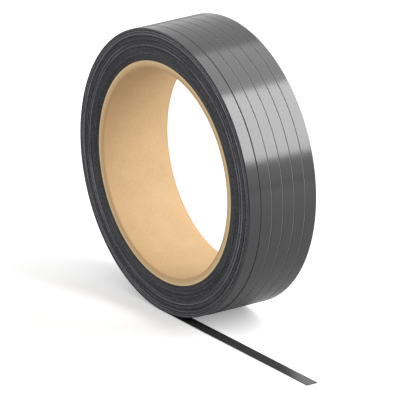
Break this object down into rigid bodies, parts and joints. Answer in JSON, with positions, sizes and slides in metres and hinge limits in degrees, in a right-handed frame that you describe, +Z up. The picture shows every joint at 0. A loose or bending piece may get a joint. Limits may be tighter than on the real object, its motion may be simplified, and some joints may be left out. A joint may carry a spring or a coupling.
{
  "type": "polyester strapping coil",
  "caption": "Heavy coil of flat polyester strap wound in side-by-side columns on a paper core, its free end lying out along the floor.",
  "frame": {"origin": "on the floor under the middle of the coil, where its rim rests", "axes": "+Z up, +Y along the coil's axis out of its front end, -X the way the free end runs"},
  "size_m": [0.7444, 0.1565, 0.5564],
  "materials": {
    "kraft_board": "plain kraft paper, spirally wound, matt",
    "polyester_strap": "extruded and drawn, plain face, satin, charcoal black"
  },
  "bodies": {
    "root": {"core": "kraft_board", "strap_winding": "polyester_strap", "strap_tail": "polyester_strap"}
  },
  "joints": []
}
